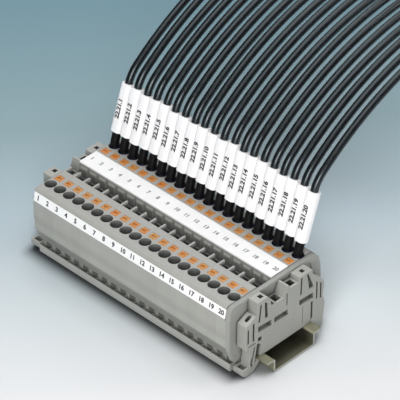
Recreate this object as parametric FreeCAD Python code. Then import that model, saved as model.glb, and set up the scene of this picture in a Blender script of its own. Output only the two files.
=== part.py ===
import FreeCAD, Part
import math
import os

# Terminal strip: twenty push-in feed-through terminal blocks on a 35 mm top-hat
# rail, closed by an end cover, held by an end clamp at each side, numbered by two
# marker strips and wired along its rear side.
#
# Frame: X runs along the rail, Y across it (front is -Y), Z up.
# Origin: middle of the rail's length, rail centre line, rail underside.
# All sizes in millimetres, angles in degrees unless a name says otherwise.
# Parts of a block are drawn with the block's left side at x = 0, then moved.

V = FreeCAD.Vector
os.makedirs("parts", exist_ok=True)

# ---------------------------------------------------------------- driving sizes
WAYS = 20               # number of terminal blocks
PITCH = 6.2             # width of one block on the rail
COVER_T = 2.2           # end cover thickness
CLAMP_T = 5.6           # end clamp thickness
CLAMP_GAP = 0.03        # air between a clamp and the row
OVERRUN = 1.0           # how far a cutter runs past the surface it opens

RAIL_L = 150.0          # rail length
RAIL_W = 35.0           # rail width over the flanges
RAIL_H = 7.5            # rail height

TOP_Z = 38.9            # flat top of the blocks
SEAT_Z = RAIL_H + 0.04  # underside of the blocks on the rail flanges
ROOF_Z = 30.8           # top of the contact chambers

BUTTON_F_Y = -16.0      # front release button centre
BUTTON_R_Y = 13.9       # rear release button centre
BUTTON_X = 4.0          # release button, along the rail
BUTTON_Y = 3.9          # release button, across the rail
ENTRY_F_Y = -21.7       # front conductor entry centre
ENTRY_R_Y = 19.9        # rear conductor entry centre

RIDGE_Y0 = -0.2         # front wall of the marker ridge
RIDGE_Y1 = 10.9         # rear edge of the marker ridge

ROW_X0 = -(WAYS * PITCH + COVER_T) / 2
COVER_X0 = ROW_X0 + WAYS * PITCH
ROW_X1 = COVER_X0 + COVER_T
MID_X = PITCH / 2       # middle of a block
BLOCKS_X = [ROW_X0 + i * PITCH for i in range(WAYS)]


# ---------------------------------------------------------------- helpers
def outline(points, x):
    """Closed wire in the YZ plane at x. A point is (y, z) or (y, z, r), where r
    rounds the corner."""
    corners = []            # (start, arc middle or None, end) of each corner
    for i, point in enumerate(points):
        before = points[i - 1]
        after = points[(i + 1) % len(points)]
        corner = V(x, point[0], point[1])
        if len(point) < 3:
            corners.append((corner, None, corner))
            continue
        r = point[2]
        back = V(x, before[0], before[1]) - corner
        ahead = V(x, after[0], after[1]) - corner
        back.normalize()
        ahead.normalize()
        half_angle = math.acos(back.dot(ahead)) / 2
        setback = r / math.tan(half_angle)
        bisector = back + ahead
        bisector.normalize()
        middle = corner + bisector * (r / math.sin(half_angle)) - bisector * r
        corners.append((corner + back * setback, middle, corner + ahead * setback))

    edges = []
    for i, (start, middle, end) in enumerate(corners):
        if middle is not None:
            edges.append(Part.Arc(start, middle, end).toShape())
        next_start = corners[(i + 1) % len(corners)][0]
        if (next_start - end).Length > 1e-6:
            edges.append(Part.makeLine(end, next_start))
    return Part.Wire(edges)


def prism(points, x0, x1):
    """Outline in the YZ plane, extruded from x0 to x1."""
    return Part.Face(outline(points, x0)).extrude(V(x1 - x0, 0, 0))


def box(x0, x1, y0, y1, z0, z1):
    return Part.makeBox(x1 - x0, y1 - y0, z1 - z0, V(x0, y0, z0))


def cylinder(r, x, y, z0, z1):
    return Part.makeCylinder(r, z1 - z0, V(x, y, z0), V(0, 0, 1))


def cone(r0, r1, x, y, z0, z1):
    return Part.makeCone(r0, r1, z1 - z0, V(x, y, z0), V(0, 0, 1))


def bent_strip(points, thickness, x0, x1):
    """Flat strip with mitred bends along a centre line of (y, z) points."""
    line = [V(0, y, z) for y, z in points]
    normals = []            # one per straight piece
    for start, end in zip(line, line[1:]):
        along = end - start
        along.normalize()
        normals.append(V(0, -along.z, along.y))
    left, right = [], []
    for i, point in enumerate(line):
        first = normals[max(i - 1, 0)]
        mitre = first + normals[min(i, len(normals) - 1)]
        mitre.normalize()
        offset = mitre * (thickness / 2 / mitre.dot(first))
        left.append(point + offset)
        right.append(point - offset)
    return prism([(p.y, p.z) for p in left + right[::-1]], x0, x1)


def moved(shape, x):
    copy = shape.copy()
    copy.translate(V(x, 0, 0))
    return copy


def largest_solid(shape):
    """The main body, without any loose sliver that the cuts leave behind."""
    return max(shape.Solids, key=lambda solid: solid.Volume)


def save(name, shapes):
    solids = [solid for shape in shapes for solid in shape.Solids]
    result = solids[0] if len(solids) == 1 else Part.makeCompound(solids)
    result.exportStep("parts/%s.step" % name)


def save_row(name, shape):
    """One copy of the shape in every block."""
    save(name, [moved(shape, x) for x in BLOCKS_X])


# ---------------------------------------------------------------- mounting rail
RAIL_T = 1.0            # sheet thickness
CHANNEL_W = 27.0        # channel width, outside
BEND_OUT = 1.3          # outer bend radius
BEND_IN = 0.35          # inner bend radius
SLOT_L = 15.0           # slot, end to end
SLOT_W = 6.2            # slot width
SLOT_PITCH = 25.0       # slot spacing
SLOTS = 5


def mounting_rail():
    flange = RAIL_W / 2
    outer = CHANNEL_W / 2
    inner = outer - RAIL_T
    under = RAIL_H - RAIL_T     # underside of the flanges
    rail = prism([
        (-flange, under), (-outer, under, BEND_IN), (-outer, 0, BEND_OUT),
        (outer, 0, BEND_OUT), (outer, under, BEND_IN), (flange, under),
        (flange, RAIL_H), (inner, RAIL_H, BEND_OUT), (inner, RAIL_T, BEND_IN),
        (-inner, RAIL_T, BEND_IN), (-inner, RAIL_H, BEND_OUT), (-flange, RAIL_H),
    ], -RAIL_L / 2, RAIL_L / 2)
    r = SLOT_W / 2
    reach = (SLOT_L - SLOT_W) / 2
    z0, z1 = -OVERRUN, RAIL_T + OVERRUN
    for i in range(SLOTS):
        x = (i - SLOTS // 2) * SLOT_PITCH
        slot = box(x - reach, x + reach, -r, r, z0, z1)
        slot = slot.fuse([cylinder(r, x - reach, 0, z0, z1),
                          cylinder(r, x + reach, 0, z0, z1)])
        rail = rail.cut(slot.removeSplitter())
    return rail


# ---------------------------------------------------------------- block housing
SIDE_GAP = 0.02         # air left on each side of a block
WALL_T = 1.0            # closed side wall, on the left of a block
BUTTON_GAP = 0.05       # air around a button in its shaft

FUNNEL_D = 5.96         # mouth diameter of a conductor entry
THROAT_D = 4.2          # throat diameter of a conductor entry
FUNNEL_Z1 = 37.3        # upper end of the taper
FUNNEL_Z0 = 33.6        # lower end of the taper

SHAFT_Y0, SHAFT_Y1 = -10.0, -5.9    # bridge shaft
SHAFT_Z = 27.0          # floor of the bridge shaft
SHAFT_RIM = 0.2         # split of the shaft cutter, back from the block's open side
RECESS_Z = 30.6         # floor of the recess in front of the ridge
STRIP_SEAT_Z = 38.12    # top of the ridge, under the wide marker strip

# Outlines below are (y, z) or (y, z, corner radius).
# The front face carries the marker strip's seat near the top, leans in below the
# waist, and ends in the moulded snap foot that grips the rail flange.
HOUSING_OUTLINE = [
    (-27.9, TOP_Z, 0.5), (-28.9, 37.9, 0.5), (-28.95, 37.05), (-28.05, 36.95),
    (-29.2, 32.1), (-30.05, 31.9, 0.2), (-29.75, 15.4, 3.0), (-24.8, 5.6, 0.3),
    (-24.8, 4.75), (-26.5, 4.75), (-27.3, 4.9, 0.3), (-27.3, 0.3, 0.5),
    (-20.2, 0.3, 0.8), (-18.6, 1.8, 0.5), (-16.4, 4.6), (-16.4, 6.42),
    (-17.62, 6.42), (-17.62, SEAT_Z), (17.62, SEAT_Z), (17.62, 6.42),
    (16.4, 6.42), (16.4, 4.4), (18.4, 1.8, 0.5), (19.8, 0.6, 0.6),
    (25.2, 0.6, 1.0), (26.6, 2.4, 1.0), (26.9, 7.0, 1.5), (29.0, 12.0, 2.5),
    (29.5, 24.0), (29.1, 32.0, 6.0), (28.0, 36.9, 2.2), (25.6, TOP_Z, 2.6),
]
CHAMBER = [
    (-28.3, ROOF_Z), (-28.2, 15.9), (-26.4, 12.36), (22.9, 12.36),
    (26.4, 12.6, 1.5), (27.7, 15.5, 1.5), (28.1, 24.0), (27.9, ROOF_Z),
    (11.4, ROOF_Z), (11.4, 24.0), (-11.0, 24.0), (-11.0, ROOF_Z),
]
LOW_POCKET = [(-15.0, 8.7), (15.0, 8.7), (15.0, 11.3), (-15.0, 11.3)]
FLEX_SLOT = [
    (-23.4, 1.6), (-21.9, 1.6, 0.4), (-20.4, 6.2), (-20.4, 10.9), (-21.3, 10.9),
    (-21.8, 6.6),
]
DRIVER_POCKET = [
    (-26.6, 5.4), (-26.6, 2.2, 0.3), (-24.9, 1.9), (-24.1, 3.0), (-24.1, 5.0),
    (-25.1, 6.6),
]
DRIVER_POCKET_WALL = 0.42
STRIP_GROOVE = [(-28.9, 35.75), (-27.3, 35.4), (-27.6, 33.9), (-29.3, 34.2)]
RIDGE_KEY = [
    (0.1, 36.9), (RIDGE_Y0, 36.9), (-0.8, 36.2), (-0.8, 35.4), (RIDGE_Y0, 35.1),
    (0.1, 35.1),
]


def block_housing():
    housing = prism(HOUSING_OUTLINE, SIDE_GAP, PITCH - SIDE_GAP)
    x0, x1 = -OVERRUN, PITCH + OVERRUN      # right through the block
    top = TOP_Z + OVERRUN
    shaft_y1 = SHAFT_Y1 + 0.02
    cutters = [
        # contact chambers and bar channel, open towards the next block
        prism(CHAMBER, WALL_T, x1),
        # lightening pocket under the bar channel
        prism(LOW_POCKET, WALL_T, x1),
        # flex slot that lets the snap foot spring
        prism(FLEX_SLOT, x0, x1),
        # screwdriver pocket behind the lip of the foot, open at the top
        prism(DRIVER_POCKET, DRIVER_POCKET_WALL, PITCH - DRIVER_POCKET_WALL),
        # bridge shaft, in two overlapping lengths
        box(WALL_T, PITCH - SHAFT_RIM, SHAFT_Y0, shaft_y1, SHAFT_Z, top),
        box(PITCH - SHAFT_RIM - 0.01, x1, SHAFT_Y0, shaft_y1, SHAFT_Z, top),
        # recess in front of the ridge, and the well in its floor
        box(x0, x1, SHAFT_Y1, RIDGE_Y0, RECESS_Z, top),
        box(1.2, PITCH - 1.2, -4.9, -1.4, SHAFT_Z, RECESS_Z + OVERRUN),
        # seat of the wide marker strip with its snap groove
        box(x0, x1, RIDGE_Y0 - 0.01, RIDGE_Y1, STRIP_SEAT_Z, top),
        box(x0, x1, 4.1, 6.6, 36.5, TOP_Z),
        # groove behind the narrow marker strip
        prism(STRIP_GROOVE, x0, x1),
    ]
    for y in (ENTRY_F_Y, ENTRY_R_Y):
        cutters += [
            cylinder(FUNNEL_D / 2, MID_X, y, FUNNEL_Z1, top),
            cone(THROAT_D / 2, FUNNEL_D / 2, MID_X, y, FUNNEL_Z0, FUNNEL_Z1),
            cylinder(THROAT_D / 2, MID_X, y, ROOF_Z - OVERRUN, FUNNEL_Z0),
        ]
    half_x = BUTTON_X / 2 + BUTTON_GAP
    half_y = BUTTON_Y / 2 + BUTTON_GAP
    for y in (BUTTON_F_Y, BUTTON_R_Y):
        cutters.append(box(MID_X - half_x, MID_X + half_x, y - half_y, y + half_y,
                           ROOF_Z - OVERRUN, top))
    housing = housing.cut(cutters)
    # raised key near the top of the ridge wall, and a shallow rib below it
    housing = housing.fuse([
        prism(RIDGE_KEY, 1.1, 5.1),
        box(4.3, 5.1, RIDGE_Y0 - 0.3, 0.1, 31.4, 35.2),
    ])
    return largest_solid(housing.removeSplitter())


# ---------------------------------------------------------------- contacts
# Centre lines of bent strips, (y, z).
BAR_T = 1.2
BAR_X0, BAR_X1 = 1.3, 4.9
BAR_LINE = [(-23.7, 24.0), (-23.7, 13.05), (21.9, 13.05), (21.9, 24.0)]

SPRING_T = 0.5
SPRING_X0, SPRING_X1 = 1.4, 4.8
# closed on the bar, no conductor
FRONT_SPRING_LINE = [
    (-22.7, 17.6), (-21.6, 18.6), (-17.4, 26.2), (-16.4, 27.1), (-14.9, 27.3),
    (-13.5, 26.6), (-12.7, 25.2), (-12.4, 23.0), (-12.4, 15.4), (-13.3, 14.1),
    (-17.0, 14.0),
]
# opened by the ferrule it holds
REAR_SPRING_LINE = [
    (18.2, 17.4), (17.9, 18.6), (15.9, 26.0), (15.2, 26.9), (14.3, 27.25),
    (13.3, 26.7), (12.6, 25.4), (12.4, 23.0), (12.4, 15.4), (13.3, 14.1),
    (16.6, 14.0),
]

# ---------------------------------------------------------------- release buttons
BUTTON_TOP = 39.1       # top of a released button
BUTTON_CHAMFER = 0.3


def release_button(y):
    x0, x1 = MID_X - BUTTON_X / 2, MID_X + BUTTON_X / 2
    y0, y1 = y - BUTTON_Y / 2, y + BUTTON_Y / 2
    button = box(x0, x1, y0, y1, 29.9, BUTTON_TOP)
    # collar that stops under the chamber roof, and the tip below it
    collar = box(x0, x1, y0 - 0.55, y1 + 0.55, 29.3, ROOF_Z - 0.05)
    tip = prism([
        (y0 + 0.5, 29.4), (y0 + 0.9, 27.95, 0.3), (y1 - 0.9, 27.95, 0.3),
        (y1 - 0.5, 29.4),
    ], x0 + 0.3, x1 - 0.3)
    button = button.fuse([collar, tip]).removeSplitter()
    driver_recess = prism([
        (y - 0.75, BUTTON_TOP + 0.1), (y - 0.75, BUTTON_TOP - 0.2),
        (y - 0.5, BUTTON_TOP - 0.75), (y + 0.5, BUTTON_TOP - 0.75),
        (y + 0.75, BUTTON_TOP - 0.2), (y + 0.75, BUTTON_TOP + 0.1),
    ], MID_X - 1.15, MID_X + 1.15)
    button = button.cut(driver_recess)
    # only the four long edges around the top; those of the recess are shorter
    rim = [edge for edge in button.Edges
           if edge.BoundBox.ZMin > BUTTON_TOP - 0.01
           and max(edge.BoundBox.XLength, edge.BoundBox.YLength) > 3]
    return button.makeChamfer(BUTTON_CHAMFER, rim)


# ---------------------------------------------------------------- end cover
# Closes the open side of the last block: slightly larger outline, no foot.
COVER_OUTLINE = [
    (-27.6, 39.1, 1.6), (-29.7, 37.6, 1.6), (-30.35, 31.5, 4.0), (-30.1, 14.6, 3.0),
    (-27.6, 7.6, 1.6), (-25.2, 6.3, 0.8), (-22.6, SEAT_Z, 0.6), (23.6, SEAT_Z, 0.6),
    (27.6, 9.0, 1.5), (29.5, 17.0, 3.0), (29.8, 25.0), (29.3, 31.4, 6.0),
    (28.1, 36.6, 3.2), (25.6, 39.1, 3.4),
]
COVER_FIELD = [
    (-26.6, 37.3, 1.2), (-28.3, 35.9, 1.2), (-28.6, 31.0, 3.0), (-28.3, 15.6, 2.5),
    (-26.6, 10.0, 1.0), (22.4, 10.0, 1.0), (23.4, 17.6, 2.5), (23.6, 25.0),
    (23.4, 31.6, 3.0), (22.6, 35.6, 1.6), (20.6, 37.3, 1.6),
]
COVER_FIELD_DEPTH = 0.35
# locating ribs that enter the last block's open side: y0, y1, z0, z1
COVER_RIBS = [
    (-27.6, -25.4, 25.6, 30.2),
    (23.3, 27.2, 25.6, 30.2),
    (-9.5, 9.5, 21.6, 23.6),
]


def end_cover():
    cover = prism(COVER_OUTLINE, COVER_X0 + SIDE_GAP, ROW_X1)
    # sunk field that leaves a raised border on the outer face
    cover = cover.cut(prism(COVER_FIELD, ROW_X1 - COVER_FIELD_DEPTH, ROW_X1 + OVERRUN))
    ribs = [box(COVER_X0 - 0.6, COVER_X0 + 0.5, *rib) for rib in COVER_RIBS]
    return cover.fuse(ribs).removeSplitter()


# ---------------------------------------------------------------- end clamps
# Plate: front post, sloping rib, low saddle, leaning fin, low tower, rear block.
CLAMP_PLATE = [
    (-18.05, 39.0, 0.4), (-11.3, 39.0, 0.4), (-5.7, 32.4), (-1.1, 32.4),
    (1.0, 37.9, 0.15), (2.1, 37.9, 0.15), (3.2, 35.5, 0.2), (8.7, 35.5),
    (9.3, 37.9, 0.5), (17.9, 37.9, 0.5), (17.9, 33.0), (17.3, 33.0),
    (17.3, SEAT_Z, 0.3), (-16.2, SEAT_Z, 0.3), (-15.3, 14.2, 0.5), (-18.05, 16.2),
]
# Rear arm: sloping shoulder, waist and bulge, foot that hooks under the flange.
CLAMP_REAR_ARM = [
    (17.2, 34.6), (18.4, 34.6, 0.4), (22.7, 31.0, 1.2), (25.8, 26.6, 2.5),
    (25.4, 19.0, 4.0), (26.6, 13.2, 4.0), (25.7, 7.0, 2.0), (25.0, 0.6, 1.4),
    (19.6, 0.8, 0.8), (18.2, 2.4, 0.5), (16.4, 4.6), (16.4, 6.42), (17.62, 6.42),
    (17.62, SEAT_Z + 1.0, 0.3), (18.6, 9.4, 0.4), (18.6, 18.6, 0.4), (17.2, 19.2),
]
# Front arm: box-shaped head with a sloping top, slim leg, cupped foot with a lip.
CLAMP_HEAD = [
    (-18.0, 32.1, 0.2), (-19.3, 32.0, 0.4), (-25.3, 29.2, 0.9), (-25.4, 15.8, 0.7),
    (-22.8, 15.1, 0.3), (-17.6, 15.6), (-17.0, 17.0), (-17.0, 31.0),
]
CLAMP_LEG = [
    (-22.9, 16.0), (-22.15, 12.0, 2.0), (-22.7, 6.4, 0.8), (-23.2, 4.0),
    (-23.2, 1.6), (-20.6, 1.4), (-19.2, 6.0, 1.0), (-18.6, 9.5), (-17.8, 14.6),
    (-17.6, 16.0),
]
CLAMP_FOOT = [
    (-27.2, 5.0, 0.4), (-27.4, 2.3, 1.2), (-24.8, 0.4, 2.0), (-20.6, 0.8, 1.4),
    (-18.0, 3.0, 0.6), (-16.4, 4.6), (-16.4, 6.42), (-17.9, 6.42, 0.2),
    (-18.6, 5.0, 0.3),
]
LEG_SLIT = [
    (-19.6, 14.4), (-18.8, 14.4), (-19.9, 8.8), (-20.5, 3.6, 0.3),
    (-22.0, 3.6, 0.3), (-21.6, 8.2), (-20.6, 9.6),
]
HEAD_SLITS = [
    [(-20.9, 18.5), (-19.7, 18.5), (-19.7, 29.0), (-20.9, 28.5)],   # rear
    [(-24.2, 18.8), (-23.2, 18.8), (-23.2, 27.2), (-24.2, 26.7)],   # front
]
# sloping window pockets, front to rear
WINDOWS = [
    [(-17.4, 25.2), (-8.6, 24.5), (-8.6, 21.1), (-17.4, 21.7)],
    [(-6.9, 24.5), (2.2, 24.1), (2.2, 20.8), (-6.9, 21.2)],
    [(9.4, 24.7), (18.9, 24.1), (18.9, 20.9), (9.6, 21.3)],
]
FLUTES = [
    # front post
    [(-16.1, 36.8), (-15.1, 36.8), (-16.2, 27.2), (-17.4, 27.2)],
    [(-13.3, 36.8), (-11.6, 35.9), (-11.0, 27.4), (-13.0, 27.4)],
    # rear block
    [(10.3, 36.8), (11.3, 36.8), (11.0, 27.2), (9.9, 27.2)],
    [(14.2, 36.8), (15.1, 36.8), (18.6, 28.4), (18.4, 27.4), (15.9, 27.4)],
    # rear arm, and along its back
    [(20.6, 18.9), (21.6, 18.9), (21.6, 28.4), (20.6, 29.2)],
    [(23.2, 17.8), (24.2, 17.8), (24.2, 26.4), (23.2, 27.4)],
]
POST_WINDOW = [(-9.35, 35.5), (-9.35, 32.9), (-7.1, 32.7)]
CLAMP_MID = CLAMP_T / 2
# sockets in the tops: x0, x1, y0, y1, floor z
SOCKETS = [
    (CLAMP_MID - 1.15, CLAMP_MID + 1.15, -14.6, -12.3, 30.0),   # post
    (0.6, CLAMP_T - 0.9, -9.4, -1.6, 27.0),                     # saddle
    (CLAMP_MID - 1.7, CLAMP_MID + 1.7, 4.2, 7.6, 27.0),         # tower
    (CLAMP_MID - 1.05, CLAMP_MID + 1.05, 12.6, 14.7, 30.0),     # rear block
    (CLAMP_MID - 0.8, CLAMP_MID + 0.8, 20.6, 22.7, 28.6),       # shoulder
]
SOCKET_TOP = 40.0       # above every part of the clamp


def face_pockets(x0, x1, window_x0, window_x1):
    """Cutters of one face of the clamp; the windows have their own depth."""
    return [
        *[prism(slit, x0, x1) for slit in HEAD_SLITS],
        box(x0, x1, -23.7, -18.9, 16.55, 17.15),    # fold line low in the head
        box(x0, x1, -17.4, -15.0, 16.3, 18.8),      # small low pocket
        *[prism(window, window_x0, window_x1) for window in WINDOWS],
        *[prism(flute, x0, x1) for flute in FLUTES],
        box(x0, x1, 11.65, 12.0, SEAT_Z + 2.3, 20.0),   # fine line in the plate
    ]


def head_slot():
    """Cutter for the rounded slot in the sloping top of the head."""
    x = CLAMP_MID + 0.25
    y0, y1 = -22.2, -20.4
    z0 = 25.6
    r = 0.95
    slot = box(x - r, x + r, y0, y1, z0, SOCKET_TOP)
    ends = [cylinder(r, x, y, z0, SOCKET_TOP) for y in (y0, y1)]
    return slot.fuse(ends).removeSplitter()


def end_clamp():
    """One moulded part. Pockets on both faces leave a web in the middle."""
    plate = prism(CLAMP_PLATE, 0, CLAMP_T)
    clamp = plate.fuse([
        prism(CLAMP_REAR_ARM, 0, CLAMP_T),
        prism(CLAMP_HEAD, 0.25, CLAMP_T),
        prism(CLAMP_LEG, 0.35, CLAMP_T - 0.25),
        prism(CLAMP_FOOT, 0, CLAMP_T),
    ])
    x0, x1 = -OVERRUN, CLAMP_T + OVERRUN    # right through the clamp
    cutters = [
        # cup between the lip of the foot and the leg
        box(0.8, CLAMP_T - 0.8, -26.3, -23.3, 2.6, 7),
        # slit that lets the leg spring
        prism(LEG_SLIT, x0, x1),
    ]
    cutters += face_pockets(x0, 1.5, x0, 1.9)
    cutters += face_pockets(CLAMP_T - 1.6, x1, CLAMP_T - 2.1, x1)
    cutters += [
        # triangular window beside the front post
        prism(POST_WINDOW, x0, x1),
        # open slit between saddle and tower, and the slot that frees the rear arm
        box(x0, x1, 0.9, 1.6, 26.6, 33.6),
        box(x0, x1, 17.25, 18.5, 9.4, 19.2),
    ]
    cutters += [box(*socket, SOCKET_TOP) for socket in SOCKETS]
    cutters.append(head_slot())
    return largest_solid(clamp.cut(cutters).removeSplitter())


# ---------------------------------------------------------------- marker strips
STRIP_X0 = ROW_X0 + 0.05
STRIP_X1 = COVER_X0 - 0.75
FRONT_STRIP = [
    (-29.0, 37.0, 0.15), (-30.15, 32.15, 0.15), (-29.26, 32.15), (-28.74, 34.35),
    (-27.78, 34.2), (-27.55, 35.25), (-28.48, 35.45), (-28.16, 36.85),
]
CENTER_Y0, CENTER_Y1 = RIDGE_Y0 + 0.03, RIDGE_Y1 - 0.06
CENTER_Z0, CENTER_Z1 = STRIP_SEAT_Z + 0.02, 39.05
CENTER_STRIP = [
    (CENTER_Y0, CENTER_Z0), (CENTER_Y0, CENTER_Z1, 0.15),
    (CENTER_Y1, CENTER_Z1, 0.15), (CENTER_Y1, CENTER_Z0),
    (6.5, CENTER_Z0), (6.4, 36.8), (4.3, 36.8), (4.2, CENTER_Z0),
]

# ---------------------------------------------------------------- wire centre lines
# Straight up out of the entry, a short bend, straight through the marker sleeve,
# then a medium and a long bend that carry the wire away to the rear. Wires laid by
# hand are never quite alike, so tilt, long bend and sleeve place differ a little.
# Headings are measured above horizontal, which points to the rear.
WIRE_Z0 = 37.0          # lower end of the insulation
SHORT_BEND_Z = 39.5     # start of the short bend
SHORT_R = 8.9
TILT = 71.3             # heading inside the sleeve
MEDIUM_BEND_Z = 69.75   # start of the medium bend
MEDIUM_R = 17.65
MEDIUM_HEADING = 39.5   # heading after the medium bend
LONG_R = 156.3
END_HEADING = 3.0       # heading at the cut end
SLEEVE_BASE = 46.5      # height of the lower end of a marker sleeve on its axis

# what each wire adds to the tilt, the long radius and the sleeve's height
TILT_CHANGE = [
    0.0, 0.5, -0.3, 0.2, -0.5, 0.4, 0.1, -0.4, 0.6, -0.1,
    0.3, -0.6, 0.2, 0.5, -0.2, -0.4, 0.3, 0.0, -0.3, 0.1,
]
LONG_CHANGE = [
    0.0, 2.6, -1.4, 3.0, 0.8, -2.4, 1.6, 3.4, -1.0, -3.0,
    2.2, 0.4, -1.8, 2.8, -0.6, 1.2, -2.6, 1.8, 0.6, 0.0,
]
SLEEVE_CHANGE = [
    0.0, 0.3, -0.4, 0.2, 0.5, -0.3, 0.1, -0.5, 0.4, 0.0,
    -0.2, 0.6, -0.4, 0.2, 0.4, -0.1, -0.5, 0.3, 0.0, -0.3,
]


def direction(heading):
    """Unit vector of a heading in radians."""
    return V(0, math.cos(heading), math.sin(heading))


def at_height(start, along, z):
    """Point at height z on the line from start."""
    return start + along * ((z - start.z) / along.z)


def bend(start, heading0, heading1, r):
    """Bend piece (kind, start, arc centre, first heading, last heading) that turns
    down to the rear, and its end point."""
    centre = start + V(0, math.sin(heading0), -math.cos(heading0)) * r
    end = centre + V(0, -math.sin(heading1), math.cos(heading1)) * r
    return ("bend", start, centre, heading0, heading1), end


def wire_line(i):
    """Centre line of wire i in the YZ plane. Straight pieces are (kind, start, end)."""
    tilt = math.radians(TILT + TILT_CHANGE[i])
    medium = math.radians(MEDIUM_HEADING)
    last = math.radians(END_HEADING)
    along = direction(tilt)

    bottom = V(0, ENTRY_R_Y, WIRE_Z0)
    rise = V(0, ENTRY_R_Y, SHORT_BEND_Z)
    short_bend, sleeve_start = bend(rise, math.pi / 2, tilt, SHORT_R)
    sleeve_end = at_height(sleeve_start, along, MEDIUM_BEND_Z + 0.6 * SLEEVE_CHANGE[i])
    medium_bend, medium_end = bend(sleeve_end, tilt, medium, MEDIUM_R)
    long_bend, end = bend(medium_end, medium, last, LONG_R + LONG_CHANGE[i])
    return {
        "pieces": [("line", bottom, rise), short_bend,
                   ("line", sleeve_start, sleeve_end), medium_bend, long_bend],
        "sleeve_start": sleeve_start,
        "sleeve_along": along,
        "sleeve_z": SLEEVE_BASE + SLEEVE_CHANGE[i],
        "end": end,
        "end_along": direction(last),
    }


def section(point, along, r_out, r_in, x):
    """Round or ring-shaped face at a point, square to a direction."""
    centre = V(x, point.y, point.z)
    disc = Part.Face(Part.Wire([Part.makeCircle(r_out, centre, along)]))
    if r_in <= 0:
        return disc
    return disc.cut(Part.Face(Part.Wire([Part.makeCircle(r_in, centre, along)])))


def tube(wire, x, r_out, r_in=0.0, tail=0.0, lead=0.0, upto=None):
    """Round solid or tube along a wire's centre line, longer by lead at its lower
    end and by tail at its cut end. With upto, only the first straight piece, the
    first bend and the second straight piece as far as that height are made."""
    pieces = wire["pieces"]
    if upto is not None:
        start = wire["sleeve_start"]
        pieces = pieces[:2] + [("line", start, at_height(start, wire["sleeve_along"], upto))]
    solids = []
    for i, (kind, start, *rest) in enumerate(pieces):
        if kind == "line":
            if i == 0:
                start = start - V(0, 0, lead)
            along = rest[0] - start
            solids.append(section(start, along, r_out, r_in, x).extrude(along))
        else:
            centre, heading0, heading1 = rest
            face = section(start, direction(heading0), r_out, r_in, x)
            solids.append(face.revolve(V(x, centre.y, centre.z), V(1, 0, 0),
                                       math.degrees(heading1 - heading0)))
    if tail > 0:
        along = wire["end_along"]
        solids.append(section(wire["end"], along, r_out, r_in, x).extrude(along * tail))
    return solids[0].fuse(solids[1:]).removeSplitter()


# ---------------------------------------------------------------- wires and ferrules
WIRE_D = 3.8            # outside diameter of the insulation
CORE_D = 1.9            # copper diameter
CORE_LEAD = 17.0        # stripped core below the insulation
CORE_TAIL = 2.2         # bare core past the cut end
FERRULE_D = 2.5         # metal tube of the ferrule
COLLAR_D = 5.3          # plastic collar of the ferrule
BOOT_D = 4.3            # outside of the collar's boot around the wire
CORE_BORE_R = CORE_D / 2 + 0.03     # hole around the core
WIRE_BORE_R = WIRE_D / 2 + 0.05     # hole around the insulation


def ferrule_tube():
    """Metal tube around the stripped core."""
    metal = cylinder(FERRULE_D / 2, MID_X, ENTRY_R_Y, 19.6, 36.9)
    return metal.cut(cylinder(CORE_BORE_R, MID_X, ENTRY_R_Y, 19.0, 37.5))


def collar_base():
    """Plastic collar in the mouth of the entry, before its wire hole is cut."""
    r = COLLAR_D / 2
    collar = cone(1.9, r - 0.05, MID_X, ENTRY_R_Y, 34.2, 37.3).fuse([
        cylinder(r, MID_X, ENTRY_R_Y, 37.3, 38.5),
        cone(r, 2.35, MID_X, ENTRY_R_Y, 38.5, 39.3),
    ]).removeSplitter()
    return collar.cut(cylinder(FERRULE_D / 2 + 0.03, MID_X, ENTRY_R_Y, 30, 37.2))


def ferrule_collar(base, wire, x):
    """Collar that runs on as a thin boot up to just below the marker sleeve."""
    top = wire["sleeve_z"]
    collar = moved(base, x).fuse(tube(wire, MID_X + x, BOOT_D / 2, upto=top - 0.35))
    collar = collar.cut(tube(wire, MID_X + x, WIRE_BORE_R, lead=0.05, upto=top + 1.0))
    return collar.removeSplitter()


# ---------------------------------------------------------------- marker sleeves
SLEEVE_W = 5.6          # along the rail
SLEEVE_D = 5.2          # across the rail
SLEEVE_L = 24.6
SLEEVE_CORNER_R = 2.0


def sleeve_blank():
    """Upright sleeve: rounded box with a round hole, lower end at the origin."""
    sleeve = Part.makeBox(SLEEVE_W, SLEEVE_D, SLEEVE_L, V(-SLEEVE_W / 2, -SLEEVE_D / 2, 0))
    long_edges = [edge for edge in sleeve.Edges
                  if abs(edge.BoundBox.ZLength - SLEEVE_L) < 0.01]
    sleeve = sleeve.makeFillet(SLEEVE_CORNER_R, long_edges)
    return sleeve.cut(cylinder(WIRE_BORE_R, 0, 0, -OVERRUN, SLEEVE_L + OVERRUN))


def marker_sleeve(blank, wire, x):
    """Sleeve tilted to the rear and slid over its wire."""
    along = wire["sleeve_along"]
    base = at_height(wire["sleeve_start"], along, wire["sleeve_z"])
    sleeve = blank.copy()
    sleeve.rotate(V(0, 0, 0), V(1, 0, 0), -math.degrees(math.acos(along.z)))
    sleeve.translate(V(MID_X + x, base.y, base.z))
    return sleeve


# ---------------------------------------------------------------- build and save
save("din_rail", [mounting_rail()])
save_row("terminal_housings", block_housing())
save_row("current_bars", bent_strip(BAR_LINE, BAR_T, BAR_X0, BAR_X1))
for side, spring_line in (("front", FRONT_SPRING_LINE), ("rear", REAR_SPRING_LINE)):
    save_row(side + "_clamp_springs",
             bent_strip(spring_line, SPRING_T, SPRING_X0, SPRING_X1))
for side, button_y in (("front", BUTTON_F_Y), ("rear", BUTTON_R_Y)):
    one_button = release_button(button_y)
    for i, x in enumerate(BLOCKS_X):
        save("%s_release_button_%02d" % (side, i + 1), [moved(one_button, x)])

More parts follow.
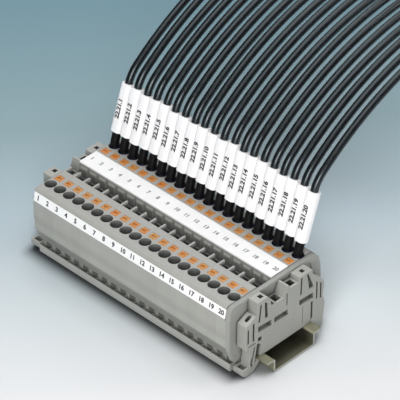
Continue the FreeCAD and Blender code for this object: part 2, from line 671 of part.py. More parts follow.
save("end_cover", [end_cover()])
one_clamp = end_clamp()
save("end_clamp_right", [moved(one_clamp, ROW_X1 + CLAMP_GAP)])
save("end_clamp_left", [moved(one_clamp, ROW_X0 - CLAMP_GAP - CLAMP_T)])
save("front_marker_strip", [prism(FRONT_STRIP, STRIP_X0, STRIP_X1)])
save("center_marker_strip", [prism(CENTER_STRIP, STRIP_X0, STRIP_X1)])

wires = [(wire_line(i), x) for i, x in enumerate(BLOCKS_X)]
save("wire_insulation",
     [tube(wire, MID_X + x, WIRE_D / 2, CORE_BORE_R) for wire, x in wires])
save("wire_cores",
     [tube(wire, MID_X + x, CORE_D / 2, tail=CORE_TAIL, lead=CORE_LEAD)
      for wire, x in wires])
save_row("ferrule_tubes", ferrule_tube())
one_collar = collar_base()
save("ferrule_collars", [ferrule_collar(one_collar, wire, x) for wire, x in wires])
one_sleeve = sleeve_blank()
save("wire_marker_sleeves", [marker_sleeve(one_sleeve, wire, x) for wire, x in wires])
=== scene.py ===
"""A row of DIN-rail terminal blocks with end clamps, marker strips and labelled wires.

The rail runs along X, the front of the row faces -Y and Z points up from the floor at
z = 0. Lengths are metres, or millimetres where a name or comment says so.
"""
import math

import bpy
import numpy as np
from mathutils import Matrix, Vector


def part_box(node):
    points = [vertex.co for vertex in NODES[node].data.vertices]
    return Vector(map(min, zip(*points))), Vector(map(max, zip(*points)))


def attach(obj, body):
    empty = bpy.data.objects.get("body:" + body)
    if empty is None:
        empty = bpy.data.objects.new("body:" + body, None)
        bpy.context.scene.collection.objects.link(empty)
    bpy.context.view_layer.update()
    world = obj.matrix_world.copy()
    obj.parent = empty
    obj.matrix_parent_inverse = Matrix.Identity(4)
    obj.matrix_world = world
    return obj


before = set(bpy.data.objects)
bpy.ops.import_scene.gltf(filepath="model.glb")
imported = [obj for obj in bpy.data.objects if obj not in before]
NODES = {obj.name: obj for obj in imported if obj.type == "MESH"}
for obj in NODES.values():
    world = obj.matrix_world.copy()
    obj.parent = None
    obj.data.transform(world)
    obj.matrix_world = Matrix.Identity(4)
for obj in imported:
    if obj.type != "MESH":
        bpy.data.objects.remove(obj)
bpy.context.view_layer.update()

MM = 0.001

scene = bpy.context.scene
scene.view_settings.view_transform = "Standard"
scene.view_settings.look = "None"
scene.view_settings.exposure = 0.0
scene.view_settings.gamma = 1.0


# ------------------------------------------------------------------ places, from the frame
def middle_x(node):
    low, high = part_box(node)
    return (low[0] + high[0]) / 2


WAYS = len([n for n in NODES if n.startswith("front_release_button_")])
X_FIRST = middle_x("front_release_button_01")
PITCH = (middle_x("front_release_button_20") - X_FIRST) / (WAYS - 1)
X_EDGE = X_FIRST - PITCH / 2        # outer side of the first block
X_JOINT = X_EDGE + WAYS * PITCH     # last block meets the cover
TOP_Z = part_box("terminal_housings")[1][2]
RAIL_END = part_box("din_rail")[1][0]
WIDE_STRIP_LOW, WIDE_STRIP_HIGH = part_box("center_marker_strip")
SLEEVE_SWELL = 0.24 * MM


def way_x(i):
    return X_FIRST + PITCH * i


# ------------------------------------------------------------------ shader helper
class Shader:
    """A node material with short calls for the nodes used here. Patterns use the
    object's own coordinates, so they stay on a piece when it moves."""

    def __init__(self, name):
        self.material = bpy.data.materials.new(name)
        self.material.use_nodes = True
        self.tree = self.material.node_tree
        self.tree.nodes.clear()
        output = self.add("ShaderNodeOutputMaterial")
        self.surface = self.add("ShaderNodeBsdfPrincipled")
        self.link(self.surface.outputs[0], output.inputs[0])
        self.place = self.add("ShaderNodeTexCoord").outputs["Object"]

    def add(self, kind, **settings):
        node = self.tree.nodes.new(kind)
        for key, value in settings.items():
            setattr(node, key, value)
        return node

    def link(self, source, socket):
        self.tree.links.new(source, socket)

    def feed(self, socket, value):
        """Link an output to the socket, or set its plain value."""
        if isinstance(value, bpy.types.NodeSocket):
            self.link(value, socket)
        else:
            socket.default_value = value

    def set(self, name, value):
        """Feed one input of the surface shader."""
        self.feed(self.surface.inputs[name], value)

    # -------- arithmetic
    def math(self, operation, a, b=0.0, clamp=False):
        node = self.add("ShaderNodeMath", operation=operation, use_clamp=clamp)
        for i, value in enumerate((a, b, 0.0)):
            self.feed(node.inputs[i], value)
        return node.outputs[0]

    def plus(self, a, b):
        return self.math("ADD", a, b)

    def minus(self, a, b):
        return self.math("SUBTRACT", a, b)

    def times(self, a, b):
        return self.math("MULTIPLY", a, b)

    def size(self, value):
        return self.math("ABSOLUTE", value)

    def square_sum(self, a, b):
        return self.plus(self.times(a, a), self.times(b, b))

    def length(self, a, b):
        return self.math("SQRT", self.square_sum(a, b))

    # -------- patterns and geometry
    def noise(self, scale, detail=2.0, rough=0.5, vector=None, distort=0.0):
        node = self.add("ShaderNodeTexNoise")
        self.link(vector or self.place, node.inputs["Vector"])
        node.inputs["Scale"].default_value = scale
        node.inputs["Detail"].default_value = detail
        node.inputs["Roughness"].default_value = rough
        node.inputs["Distortion"].default_value = distort
        return node.outputs[0]

    def streaks(self, scales, detail=2.0, rough=0.5):
        """Noise with its own scale along x, y and z."""
        mapping = self.add("ShaderNodeMapping")
        self.link(self.place, mapping.inputs[0])
        mapping.inputs["Scale"].default_value = scales
        return self.noise(1.0, detail, rough, vector=mapping.outputs[0])

    def split(self, vector):
        node = self.add("ShaderNodeSeparateXYZ")
        self.link(vector, node.inputs[0])
        return [node.outputs[i] for i in range(3)]

    def geometry(self, name):
        return self.add("ShaderNodeNewGeometry").outputs[name]

    def rounded(self, radius):
        """Shading normal of edges rounded to this radius."""
        node = self.add("ShaderNodeBevel", samples=4)
        node.inputs["Radius"].default_value = radius
        return node.outputs[0]

    def edge(self, radius):
        """0 on flat faces, rising on sharp edges."""
        dot = self.add("ShaderNodeVectorMath", operation="DOT_PRODUCT")
        self.link(self.rounded(radius), dot.inputs[0])
        self.link(self.geometry("Normal"), dot.inputs[1])
        return self.math("SUBTRACT", 1.0, dot.outputs["Value"], clamp=True)

    def corners(self, reach, lo, hi, samples=6):
        """1 where ambient occlusion within reach is below lo, 0 above hi."""
        node = self.add("ShaderNodeAmbientOcclusion", samples=samples)
        node.inputs["Distance"].default_value = reach
        return self.ramp(node.outputs["AO"], lo, hi, to=(1.0, 0.0))

    def bump(self, height, strength, distance, normal=None):
        node = self.add("ShaderNodeBump")
        node.inputs["Strength"].default_value = strength
        node.inputs["Distance"].default_value = distance
        self.link(height, node.inputs["Height"])
        if normal is not None:
            self.link(normal, node.inputs["Normal"])
        return node.outputs[0]

    # -------- masks
    def ramp(self, value, lo=0.3, hi=0.7, to=(0.0, 1.0), smooth=True):
        """Map lo..hi to the range in to. The default lo and hi suit noise."""
        node = self.add("ShaderNodeMapRange")
        node.interpolation_type = "SMOOTHSTEP" if smooth else "LINEAR"
        for i, number in enumerate((value, lo, hi, *to)):
            self.feed(node.inputs[i], number)
        return node.outputs[0]

    def above(self, value, lo, hi, start=0.0, to=(0.0, 1.0)):
        """Rise between two places, given in mm from start."""
        return self.ramp(value, start + lo * MM, start + hi * MM, to)

    def below(self, value, lo, hi, start=0.0):
        """Fall from 1 to 0 between two places, given in mm from start."""
        return self.above(value, lo, hi, start, to=(1.0, 0.0))

    def between(self, value, rise, fall, start=0.0):
        """A band that rises and falls over two pairs of places, in mm from start."""
        return self.times(self.above(value, *rise, start), self.below(value, *fall, start))

    # -------- colour
    def mix(self, factor, a, b, blend="MIX"):
        node = self.add("ShaderNodeMix", data_type="RGBA", blend_type=blend)
        self.feed(node.inputs[0], factor)
        for i, color in ((6, a), (7, b)):
            self.feed(node.inputs[i], (*color, 1.0) if isinstance(color, tuple) else color)
        return node.outputs[2]

    def mottle(self, noise, colors, lo=0.3, hi=0.7):
        return self.mix(self.ramp(noise, lo, hi), *colors)

    def paint(self, under, color, mask, amount):
        """Lay a colour over another where the mask is, by this amount."""
        return self.mix(self.times(mask, amount), under, color)

    def shade(self, under, value):
        """Multiply a colour by one value."""
        node = self.add("ShaderNodeCombineColor")
        for i in range(3):
            self.link(value, node.inputs[i])
        return self.mix(1.0, under, node.outputs[0], "MULTIPLY")


# ------------------------------------------------------------------ grey polyamide
FUNNEL_Y = (-21.7 * MM, 19.9 * MM)  # front and rear conductor entries


def ways_along(k, x):
    """Distance from the outer side of the first block, counted in blocks."""
    return k.math("DIVIDE", k.minus(x, X_EDGE), PITCH)


def housing_tones_and_top_light(k, color, x, z):
    """Each moulding has its own slight tone, and the tops are painted paler, a painted
    highlight.
    """
    own = k.add("ShaderNodeTexWhiteNoise", noise_dimensions="1D")
    k.link(k.math("FLOOR", ways_along(k, x)), own.inputs["W"])
    color = k.shade(color, k.ramp(own.outputs[0], 0.0, 1.0, to=(0.965, 1.025), smooth=False))
    # painted light: faces that look up, near the top, are painted paler
    normal_z = k.split(k.geometry("Normal"))[2]
    painted_top_light = k.times(k.ramp(normal_z, 0.75, 0.97), k.above(z, -1.6, -1.0, start=TOP_Z))
    return k.mix(painted_top_light, color, (0.352, 0.348, 0.328))


def housing_openings(k, color, from_middle, y, z):
    """Painted shade in the conductor entries, the bridge shafts and on the ridge wall under
    the wide strip, with a dark line at each joint of the wall.
    """
    # painted shade inside the conductor entries, below their rims
    for funnel_y in FUNNEL_Y:
        radius = k.length(from_middle, k.minus(y, funnel_y))
        inside = k.ramp(radius, 2.96 * MM, 3.02 * MM, to=(1.0, 0.0), smooth=False)
        deep = k.below(z, -0.55, -0.10, start=TOP_Z)
        color = k.paint(color, (0.045, 0.050, 0.049), k.times(inside, deep), amount=0.86)
    # shaft walls fall into the dark just below their rims
    shaft = k.between(y, rise=(-13.7, -13.5), fall=(-1.05, -0.95))
    shaft = k.times(shaft, k.below(z, -2.6, -0.5, start=TOP_Z))
    color = k.paint(color, (0.026, 0.032, 0.040), shaft, amount=0.80)
    # the ridge wall is shaded, with a line at each joint
    wall = k.between(y, rise=(-1.05, -0.95), fall=(0.3, 0.5))
    wall = k.times(wall, k.below(z, -0.9, -0.7, start=TOP_Z))
    lighter_front = k.above(y, -0.72, -0.60, to=(0.30, 1.0))
    color = k.paint(color, (0.060, 0.066, 0.062), k.times(wall, lighter_front), amount=0.26)
    joint = k.above(k.size(from_middle), -0.26, -0.10, start=PITCH / 2)
    return k.paint(color, (0.020, 0.023, 0.022), k.times(wall, joint), amount=0.55)


def housing_foot(k, color, y, z):
    """The lip along the front foot and the pockets behind it: painted light in the pockets
    and on the lip's face, painted shade where the pockets open.
    """
    # painted light: the pockets are painted a little paler
    pockets = k.between(y, rise=(-26.72, -26.58), fall=(-20.0, -19.8))
    pockets = k.times(pockets, k.below(z, 4.1, 4.72))
    color = k.paint(color, (0.52, 0.53, 0.49), pockets, amount=0.22)
    # painted light on the front face of the lip
    lip_face_light = k.times(k.below(y, -27.15, -27.05), k.below(z, 4.3, 4.6))
    color = k.paint(color, (0.45, 0.455, 0.44), lip_face_light, amount=0.48)
    # painted shade over the narrow top of the lip, where the pockets open
    pocket_mouth_shade = k.times(k.between(y, rise=(-27.29, -27.18), fall=(-24.9, -24.8)),
                      k.between(z, rise=(4.35, 4.55), fall=(5.0, 5.2)))
    return k.paint(color, (0.075, 0.080, 0.068), pocket_mouth_shade, amount=0.72)


def housing_marks(k, color, x, y, z):
    # painted shade: a dark line where the last block meets the cover
    painted_shade = k.between(x, rise=(-0.72, -0.60), fall=(-0.02, 0.05), start=X_JOINT)
    painted_shade = k.times(painted_shade, k.above(z, 31.0, 32.5))
    color = k.paint(color, (0.030, 0.033, 0.032), painted_shade, amount=0.72)
    # painted shade on the slope above the foot, which faces down, stronger higher up
    front = k.below(y, -24.5, -24.0)
    slope = k.times(front, k.times(k.below(z, 14.0, 16.2), k.above(z, 4.85, 5.4)))
    stronger_up = k.above(z, 5.0, 12.0, to=(0.10, 0.36))
    color = k.paint(color, (0.105, 0.110, 0.090), slope, amount=stronger_up)
    # a faint darker band across the middle of the front faces
    band = k.between(z, rise=(18.3, 20.6), fall=(21.6, 25.5))
    return k.paint(color, (0.16, 0.165, 0.145), k.times(band, front), amount=0.20)


def polyamide(name, base, light, dark, housing=False, rough=0.5, highlight_amount=0.34,
              recess_shade=0.0, paint_top_light=False):
    """Injection-moulded polyamide: faint flow mottling, fine grain, painted shade in the
    corners and a painted highlight along the edges. The recess shade amount paints shade
    into the wide recesses."""
    k = Shader(name)
    broad = k.noise(scale=55.0, detail=3.0, rough=0.55)
    fine = k.noise(scale=420.0, detail=3.0, rough=0.6)
    flow = k.streaks((70.0, 260.0, 60.0))
    tone = k.plus(k.times(broad, 0.5), k.plus(k.times(fine, 0.25), k.times(flow, 0.25)))
    color = k.mottle(tone, (dark, light), lo=0.32, hi=0.68)
    color = k.mix(0.45, color, base)
    x, y, z = k.split(k.place)
    if housing:
        color = housing_tones_and_top_light(k, color, x, z)
    # painted shade in the corners, from ambient occlusion
    painted_shade = k.corners(2.0 * MM, lo=0.20, hi=0.92)
    if housing:
        # less painted corner shade in the foot, where the pockets are open
        painted_shade = k.times(painted_shade, k.above(z, 5.0, 8.0, to=(0.35, 1.0)))
    color = k.paint(color, (0.050, 0.054, 0.052), painted_shade, amount=0.50)
    # painted light: faces that look up are painted paler
    if paint_top_light:
        normal_z = k.split(k.geometry("Normal"))[2]
        color = k.mix(k.ramp(normal_z, 0.5, 0.9), color, (0.37, 0.370, 0.342))
    # painted shade in the wide recesses, weaker near the floor
    if recess_shade > 0:
        recess = k.corners(5.5 * MM, lo=0.12, hi=0.74, samples=8)
        by_height = k.above(z, 6.0, 9.0, to=(recess_shade * 0.35, recess_shade))
        color = k.paint(color, (0.020, 0.021, 0.020), recess, amount=by_height)
    if housing:
        from_middle = k.minus(k.math("FRACT", ways_along(k, x)), 0.5)
        from_middle = k.times(from_middle, PITCH)
        color = housing_openings(k, color, from_middle, y, z)
        color = housing_foot(k, color, y, z)
        color = housing_marks(k, color, x, y, z)
    # painted highlight: a paler line along the edges
    edge_highlight = k.times(k.ramp(k.edge(0.22 * MM), 0.015, 0.16),
                   k.ramp(k.noise(scale=900.0), 0.3, 0.6, to=(0.35, 1.0)))
    k.set("Base Color", k.paint(color, (0.66, 0.68, 0.66), edge_highlight, amount=highlight_amount))
    k.set("Roughness", k.ramp(fine, to=(rough - 0.05, rough + 0.07)))
    k.set("IOR", 1.5)
    grain = k.noise(scale=5200.0, rough=0.6)
    ripple = k.noise(scale=240.0)
    normal = k.bump(ripple, strength=0.12, distance=0.00025, normal=k.rounded(0.17 * MM))
    k.set("Normal", k.bump(grain, strength=0.22, distance=0.00004, normal=normal))
    return k.material


# ------------------------------------------------------------------ other materials
def orange_plastic():
    k = Shader("button_orange")
    color = k.mottle(k.noise(scale=900.0), ((0.480, 0.175, 0.034), (0.570, 0.222, 0.052)))
    # some buttons are more golden
    own = k.add("ShaderNodeObjectInfo").outputs["Random"]
    color = k.paint(color, (0.460, 0.240, 0.075), own, amount=0.75)
    shadow = k.corners(1.1 * MM, lo=0.1, hi=0.8)
    color = k.paint(color, (0.30, 0.09, 0.015), shadow, amount=0.30)
    # painted highlight along the edges
    orange_edge_highlight = k.ramp(k.edge(0.18 * MM), 0.02, 0.2)
    k.set("Base Color", k.paint(color, (0.92, 0.50, 0.22), orange_edge_highlight, amount=0.35))
    k.set("Roughness", k.ramp(k.noise(scale=2500.0), to=(0.34, 0.46)))
    k.set("Normal", k.bump(k.noise(scale=6000.0), strength=0.15, distance=0.00003))
    k.set("Subsurface Weight", 0.06)
    k.set("Subsurface Radius", (0.0008, 0.0004, 0.0002))
    return k.material


def white_plastic(name, tint, shade_in_corners):
    k = Shader(name)
    darker = tuple(c * 0.955 for c in tint)
    color = k.mottle(k.noise(scale=160.0, detail=3.0), (darker, tint))
    # painted shade in the corners, from ambient occlusion
    painted_shade = k.corners(1.6 * MM, lo=0.25, hi=0.95)
    k.set("Base Color", k.paint(color, (0.30, 0.31, 0.32), painted_shade, amount=shade_in_corners))
    rough = 0.42
    k.set("Roughness", k.ramp(k.noise(scale=1500.0), to=(rough - 0.05, rough + 0.06)))
    k.set("Normal", k.bump(k.noise(scale=3800.0), strength=0.12, distance=0.00003))
    return k.material


def rail_metal():
    """Zinc-plated, yellow-passivated steel: cloudy olive tint, rolling lines along the
    rail, painted shade inside the trough, bright where it was sawn off."""
    k = Shader("rail_passivated_steel")
    cloud = k.noise(scale=45.0, detail=4.0, rough=0.6, distort=0.6)
    fine = k.noise(scale=700.0, detail=3.0, rough=0.6)
    color = k.mottle(cloud, ((0.33, 0.32, 0.20), (0.47, 0.46, 0.34)), lo=0.32, hi=0.66)
    stain = k.ramp(k.noise(scale=120.0, detail=3.0, rough=0.6, distort=1.0), 0.52, 0.70)
    color = k.paint(color, (0.42, 0.37, 0.18), stain, amount=0.5)
    x, y, z = k.split(k.place)
    # painted shade inside the trough, deeper away from the sawn end
    trough = k.times(k.below(k.size(y), 12.6, 12.9), k.above(z, 0.5, 0.8))
    trough = k.times(trough, k.below(z, 6.3, 6.6))
    inward = k.above(k.size(x), -6.0, -0.2, start=RAIL_END, to=(0.86, 0.50))
    color = k.paint(color, (0.030, 0.028, 0.020), trough, amount=inward)
    # painted shade in the corners, from ambient occlusion
    shade_in_corners = k.corners(4.0 * MM, lo=0.2, hi=0.9)
    color = k.paint(color, (0.05, 0.05, 0.035), shade_in_corners, amount=0.45)
    normal_x = k.split(k.geometry("Normal"))[0]
    sawn = k.ramp(k.size(normal_x), 0.80, 0.95)
    k.set("Base Color", k.mix(sawn, color, (0.38, 0.378, 0.335)))
    k.set("Metallic", k.minus(0.80, k.times(sawn, 0.35)))
    lines = k.streaks((30.0, 2600.0, 2600.0), detail=3.0, rough=0.65)
    k.set("Roughness", k.ramp(lines, to=(0.30, 0.48)))
    normal = k.bump(lines, strength=0.10, distance=0.00005, normal=k.rounded(0.15 * MM))
    k.set("Normal", k.bump(fine, strength=0.06, distance=0.00008, normal=normal))
    return k.material


def metal(name, colors, rough, grain=(2000.0, 300.0, 300.0)):
    k = Shader(name)
    k.set("Base Color", k.mottle(k.noise(scale=260.0, detail=3.0, rough=0.6), colors))
    k.set("Metallic", 1.0)
    lines = k.streaks(grain, rough=0.6)
    k.set("Roughness", k.ramp(lines, to=(rough - 0.07, rough + 0.1)))
    k.set("Normal", k.bump(lines, strength=0.12, distance=0.00004))
    return k.material


def wire_pvc():
    """Nearly black, with a faint orange peel."""
    k = Shader("wire_pvc")
    k.set("Base Color", k.mottle(k.noise(scale=90.0, detail=3.0),
                                 ((0.0020, 0.0024, 0.0032), (0.0040, 0.0046, 0.0058))))
    k.set("Roughness", k.ramp(k.noise(scale=500.0), to=(0.27, 0.36)))
    k.set("Normal", k.bump(k.noise(scale=1400.0), strength=0.10, distance=0.00006))
    k.set("Specular IOR Level", 0.66)
    k.set("Specular Tint", (0.82, 0.95, 1.0, 1.0))
    return k.material


def collar_plastic():
    k = Shader("collar_dark_blue")
    color = k.mottle(k.noise(scale=500.0), ((0.0025, 0.003, 0.013), (0.005, 0.006, 0.022)))
    # the thin boot above the collar is nearly black
    boot = k.above(k.split(k.place)[2], 38.9, 39.5)
    k.set("Base Color", k.mix(boot, color, (0.0022, 0.0023, 0.0030)))
    k.set("Roughness", k.ramp(k.noise(scale=2200.0), to=(0.42, 0.54)))
    k.set("Specular IOR Level", 0.16)
    k.set("Normal", k.bump(k.noise(scale=3000.0), strength=0.08, distance=0.00004))
    return k.material


def ink(name, color):
    k = Shader(name)
    grain = k.noise(scale=5200.0, rough=0.6)
    lighter = tuple(min(1.0, c * 1.6 + 0.01) for c in color)
    k.set("Base Color", k.mottle(grain, (color, lighter), lo=0.35))
    k.set("Roughness", k.ramp(grain, to=(0.45, 0.6)))
    k.set("Normal", k.bump(grain, strength=0.1, distance=0.00002))
    return k.material


HOUSING = polyamide("housing_polyamide", base=(0.335, 0.336, 0.306),
                    light=(0.355, 0.356, 0.325), dark=(0.310, 0.311, 0.283), housing=True)
COVER = polyamide("cover_polyamide", base=(0.284, 0.288, 0.264),
                  light=(0.304, 0.308, 0.283), dark=(0.260, 0.264, 0.242), recess_shade=0.30)
CLAMP = polyamide("clamp_polyamide", base=(0.292, 0.293, 0.268),
                  light=(0.315, 0.316, 0.290), dark=(0.266, 0.267, 0.245),
                  rough=0.47, highlight_amount=0.5, recess_shade=0.88, paint_top_light=True)
ORANGE = orange_plastic()
WHITE = white_plastic("marker_white", tint=(0.86, 0.86, 0.852), shade_in_corners=0.35)
SLEEVE = white_plastic("sleeve_white", tint=(0.87, 0.865, 0.87), shade_in_corners=0.0)
RAIL = rail_metal()
TIN = metal("tinned_copper", colors=((0.60, 0.59, 0.56), (0.74, 0.73, 0.70)), rough=0.32)
SPRING = metal("spring_steel", colors=((0.50, 0.50, 0.49), (0.66, 0.66, 0.65)), rough=0.26)
COPPER = metal("bare_copper", colors=((0.62, 0.27, 0.15), (0.80, 0.40, 0.24)), rough=0.34,
               grain=(4000.0, 500.0, 500.0))
PVC = wire_pvc()
COLLAR = collar_plastic()
INK_BLACK = ink("ink_black", (0.018, 0.018, 0.020))
INK_GREY = ink("ink_grey", (0.16, 0.16, 0.17))

NODE_MATERIALS = {
    "terminal_housings": HOUSING,
    "end_cover": COVER,
    "end_clamp_left": CLAMP,
    "end_clamp_right": CLAMP,
    "din_rail": RAIL,
    "front_marker_strip": WHITE,
    "center_marker_strip": WHITE,
    "wire_marker_sleeves": SLEEVE,
    "wire_insulation": PVC,
    "wire_cores": COPPER,
    "ferrule_tubes": TIN,
    "ferrule_collars": COLLAR,
    "current_bars": TIN,
    "front_clamp_springs": SPRING,
    "rear_clamp_springs": SPRING,
    **{node: ORANGE for node in NODES if "release_button" in node},
}
for node, material in NODE_MATERIALS.items():
    slots = NODES[node].data.materials
    slots.clear()
    slots.append(material)

# ------------------------------------------------------------------ rounded edges
EDGE_WIDTHS = {  # node: bevel width
    "end_cover": 0.22 * MM,
    "front_marker_strip": 0.1 * MM,
    "center_marker_strip": 0.1 * MM,
    "wire_marker_sleeves": 0.12 * MM,
}


def soften(piece, width):
    """Clean up the CAD mesh, then round its sharp edges."""
    weld = piece.modifiers.new("weld", "WELD")
    weld.merge_threshold = 0.000004
    flat = piece.modifiers.new("flat", "DECIMATE")
    flat.decimate_type = "DISSOLVE"
    flat.angle_limit = math.radians(1.0)
    bevel = piece.modifiers.new("round", "BEVEL")
    bevel.width = width
    bevel.segments = 2
    bevel.limit_method = "ANGLE"
    bevel.angle_limit = math.radians(32.0)
    bevel.use_clamp_overlap = True
    bevel.harden_normals = False
    bevel.miter_outer = "MITER_ARC"
    for polygon in piece.data.polygons:
        polygon.use_smooth = True
    normals = piece.modifiers.new("normals", "WEIGHTED_NORMAL")
    normals.keep_sharp = False
    normals.weight = 60


for node, width in EDGE_WIDTHS.items():
    soften(NODES[node], width)

# the sleeves are soft and swell a little where they press on each other
swell = NODES["wire_marker_sleeves"].modifiers.new("swell", "DISPLACE")
swell.direction = "NORMAL"
swell.mid_level = 0.0
swell.strength = SLEEVE_SWELL

# ------------------------------------------------------------------ printed numbers
PRINT_THICKNESS = 0.05 * MM
STRIP_LIFT = 0.03 * MM      # middle of the print above a strip
SLEEVE_LIFT = 0.07 * MM     # and above a swollen sleeve


def text_mesh(text, size, bold):
    """Mesh of one short text; bold is the outline offset as a share of the size."""
    curve = bpy.data.curves.new("t", "FONT")
    curve.body = text
    curve.size = size
    curve.align_x = "CENTER"
    curve.align_y = "CENTER"
    curve.extrude = PRINT_THICKNESS / 2
    curve.offset = size * bold
    curve.resolution_u = 4
    holder = bpy.data.objects.new("t", curve)
    scene.collection.objects.link(holder)
    depsgraph = bpy.context.evaluated_depsgraph_get()
    mesh = bpy.data.meshes.new_from_object(holder.evaluated_get(depsgraph))
    bpy.data.objects.remove(holder)
    bpy.data.curves.remove(curve)
    return mesh


def number_piece(name, items, size, material, bold, wrap=None):
    """One piece that holds many short numbers, each a (text, matrix) item.
    With wrap = (half width of the flat, corner radius) the print follows a surface
    that falls away on both sides of its middle line."""
    verts, faces = [], []
    for text, matrix in items:
        mesh = text_mesh(text, size, bold)
        base = len(verts)
        for vertex in mesh.vertices:
            point = vertex.co.copy()
            if wrap is not None:
                flat, radius = wrap
                over = min(max(0.0, abs(point.y) - flat), radius * 0.95)
                point.z -= radius - math.sqrt(radius ** 2 - over ** 2)
            verts.append(tuple(matrix @ point))
        for polygon in mesh.polygons:
            faces.append([base + i for i in polygon.vertices])
        bpy.data.meshes.remove(mesh)
    mesh = bpy.data.meshes.new(name)
    mesh.from_pydata(verts, [], faces)
    mesh.update()
    piece = bpy.data.objects.new(name, mesh)
    scene.collection.objects.link(piece)
    mesh.materials.append(material)
    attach(piece, "strip")


def axes_matrix(right, up, back, origin):
    matrix = Matrix((right, up, back)).transposed().to_4x4()
    matrix.translation = origin
    return matrix


def print_matrix(origin, right, up):
    right = Vector(right).normalized()
    up = Vector(up).normalized()
    return axes_matrix(right, up, right.cross(up), Vector(origin))


def front_strip_numbers():
    """Digits upright on the leaning face of the front strip."""
    top = Vector((0, -29.0 * MM, 37.0 * MM))
    bottom = Vector((0, -30.15 * MM, 32.15 * MM))
    up = (top - bottom).normalized()
    middle = (top + bottom) / 2
    outward = Vector((1, 0, 0)).cross(up)
    items = []
    for i in range(WAYS):
        center = Vector((way_x(i) - 0.25 * MM, middle.y, middle.z)) + outward * STRIP_LIFT
        items.append((str(i + 1), print_matrix(center, (1, 0, 0), up)))
    number_piece("front_strip_numbers", items, 3.3 * MM, INK_BLACK, bold=0.036)


def center_strip_numbers():
    """Digits flat on top of the wide strip, read from the front."""
    y = (WIDE_STRIP_LOW[1] + WIDE_STRIP_HIGH[1]) / 2
    z = WIDE_STRIP_HIGH[2] + STRIP_LIFT
    items = []
    for i in range(WAYS):
        center = (way_x(i) - 0.2 * MM, y, z)
        items.append((str(i + 1), print_matrix(center, (1, 0, 0), (0, 1, 0))))
    number_piece("center_strip_numbers", items, 2.9 * MM, INK_GREY, bold=0.034)


def sleeve_numbers():
    """Running numbers along the wires. Every sleeve sits and leans a little
    differently, so its place and direction are read from its mesh."""
    sleeves = NODES["wire_marker_sleeves"]
    points = np.array([tuple(sleeves.matrix_world @ v.co) for v in sleeves.data.vertices])
    items = []
    for i in range(WAYS):
        yz = points[np.abs(points[:, 0] - way_x(i)) < PITCH * 0.49][:, 1:3]
        mean = yz.mean(axis=0)
        # the longest direction of the sleeve in the YZ plane, pointing up
        _, directions = np.linalg.eigh(np.cov((yz - mean).T))
        long = directions[:, 1] if directions[1, 1] > 0 else -directions[:, 1]
        across = np.array([-long[1], long[0]])
        reach_long = (yz - mean) @ long
        reach_across = (yz - mean) @ across
        face = (mean + long * (reach_long.min() + reach_long.max()) / 2
                + across * reach_across.max())
        along = Vector((0, float(long[0]), float(long[1])))
        outward = Vector((0, float(across[0]), float(across[1])))
        center = (Vector((way_x(i), float(face[0]), float(face[1])))
                  + outward * (SLEEVE_LIFT + SLEEVE_SWELL) - along * (0.2 * MM))
        items.append(("22.21.%d" % (i + 1),
                      print_matrix(center, along, outward.cross(along))))
    number_piece("sleeve_numbers", items, 3.45 * MM, INK_BLACK, bold=0.040,
                 wrap=(0.8 * MM, 2.2 * MM))


front_strip_numbers()
center_strip_numbers()
sleeve_numbers()

# ------------------------------------------------------------------ floor
# painted fall-off of the light: the floor colour darkens from near to far
FLOOR_STOPS = [  # position from near to far, colour
    (0.0, (0.715, 0.718, 0.728)),
    (0.21, (0.60, 0.652, 0.672)),
    (0.42, (0.437, 0.524, 0.570)),
    (0.65, (0.262, 0.362, 0.396)),
    (1.0, (0.168, 0.290, 0.340)),
]


def depth_colors(k, factor):
    node = k.add("ShaderNodeValToRGB")
    k.link(factor, node.inputs[0])
    elements = node.color_ramp.elements
    for element, (position, color) in zip(elements, (FLOOR_STOPS[0], FLOOR_STOPS[-1])):
        element.position = position
        element.color = (*color, 1.0)
    for position, color in FLOOR_STOPS[1:-1]:
        elements.new(position).color = (*color, 1.0)
    return node.outputs[0]


def light_blob(k, x, y, center, radius, gain):
    """A soft round patch that is gain high in its middle."""
    squares = k.square_sum(k.minus(x, center[0]), k.minus(y, center[1]))
    return k.times(k.math("EXPONENT", k.math("DIVIDE", squares, -2.0 * radius ** 2)), gain)


def foot_shadow(k, x, y):
    """A painted shadow: the narrow dark line along the front foot, fading towards its ends.
    """
    past_end = k.minus(k.size(k.plus(x, 1.0 * MM)), 65.0 * MM)
    past_end = k.times(k.math("MAXIMUM", past_end, 0.0), 1.5)
    distance = k.length(past_end, k.minus(-27.3 * MM, y))
    closeness = k.minus(1.0, k.ramp(distance, 1.0 * MM, 10.0 * MM, smooth=False))
    return k.times(k.math("POWER", closeness, 1.6), k.above(y, -26.0, -20.0, to=(0.82, 0.0)))


def pale_floor():
    """A pale floor whose colour cools and darkens with distance from the camera; the
    darkening is a painted fall-off of the light.
    """
    k = Shader("floor_pale")
    x, y, _ = k.split(k.geometry("Position"))
    depth = k.plus(k.times(x, -0.755), k.times(y, 0.655))
    color = depth_colors(k, k.ramp(depth, -0.08, 0.235, smooth=False))
    mottling = k.ramp(k.noise(scale=2.0), to=(0.0, 0.03))
    color = k.mix(mottling, color, (0.8, 0.82, 0.83))
    # painted contact shadow around the pieces
    contact_shadow = k.corners(9.0 * MM, lo=0.30, hi=1.0, samples=12)
    color = k.paint(color, (0.05, 0.055, 0.06), contact_shadow, amount=0.72)
    # painted shadow along the front foot
    color = k.mix(foot_shadow(k, x, y), color, (0.0, 0.0, 0.0))
    # softer light behind the last wires
    lift = k.plus(
        light_blob(k, x, y, center=(12.0 * MM, 78.0 * MM), radius=22.0 * MM, gain=0.46),
        light_blob(k, x, y, center=(62.0 * MM, 45.0 * MM), radius=18.0 * MM, gain=0.16))
    k.set("Base Color", k.shade(color, k.plus(1.0, lift)))
    k.set("Roughness", 0.65)
    k.set("Specular IOR Level", 0.2)
    return k.material


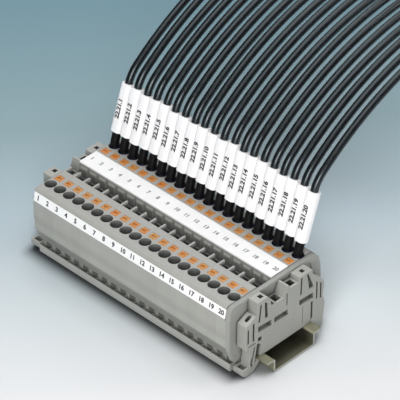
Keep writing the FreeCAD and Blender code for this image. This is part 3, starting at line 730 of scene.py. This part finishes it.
# just below z = 0, so that it doesn't share a plane with the pieces
bpy.ops.mesh.primitive_plane_add(size=1, location=(0, 0, -0.00002))
floor = bpy.context.object
floor.name = "floor"
floor.scale = (6, 6, 1)
floor.data.materials.append(pale_floor())

# ------------------------------------------------------------------ light
WORLD_COLOR = (0.86, 0.93, 1.0, 1.0)
WORLD_STRENGTH = 0.10
LIGHT_TARGET = Vector((0, 0, 0.02))
LIGHTS = [  # name, place, side of the square, power in watts
    ("overhead", (0.0, 0.05, 1.25), 1.2, 9.8),
    ("over_back_left", (-0.65, 0.55, 0.85), 0.8, 2.6),
    ("front_right", (0.55, -0.80, 0.50), 0.6, 10.6),
    ("back_right", (0.55, 0.85, 0.60), 0.6, 3.6),
]

world = bpy.data.worlds.new("studio")
scene.world = world
world.use_nodes = True
background = world.node_tree.nodes["Background"]
background.inputs[0].default_value = WORLD_COLOR
background.inputs[1].default_value = WORLD_STRENGTH

for name, place, side, power in LIGHTS:
    light = bpy.data.lights.new(name, "AREA")
    light.energy = power
    light.color = (1, 1, 1)
    light.shape = "RECTANGLE"
    light.size = side
    light.size_y = side
    lamp = bpy.data.objects.new(name, light)
    scene.collection.objects.link(lamp)
    lamp.location = place
    lamp.rotation_euler = (LIGHT_TARGET - Vector(place)).to_track_quat("-Z", "Y").to_euler()

# ------------------------------------------------------------------ camera
# A long lens, from the front right and above. Angles are radians; the shifts move the
# camera across its view, away from the line to the first block's outer side.
SENSOR_WIDTH = 36.0     # mm
LENS = 275.83065        # mm
AZIMUTH = 0.773070342
ELEVATION = 0.656435879
ROLL = 0.00121931618
SHIFT_RIGHT = 0.0563069
SHIFT_UP = 0.0125001
DISTANCE = 1.45828713

back = Vector((math.sin(AZIMUTH) * math.cos(ELEVATION),
               -math.cos(AZIMUTH) * math.cos(ELEVATION),
               math.sin(ELEVATION)))
level_right = Vector((math.cos(AZIMUTH), math.sin(AZIMUTH), 0))
level_up = back.cross(level_right)
right = level_right * math.cos(ROLL) + level_up * math.sin(ROLL)
up = -level_right * math.sin(ROLL) + level_up * math.cos(ROLL)
position = back * DISTANCE + right * SHIFT_RIGHT + up * SHIFT_UP + Vector((X_EDGE, 0, 0))

camera_data = bpy.data.cameras.new("camera")
camera = bpy.data.objects.new("camera", camera_data)
scene.collection.objects.link(camera)
camera_data.sensor_width = SENSOR_WIDTH
camera_data.lens = LENS
camera_data.clip_start = 0.05
camera_data.clip_end = 20
camera.matrix_world = axes_matrix(right, up, back, position)
scene.camera = camera
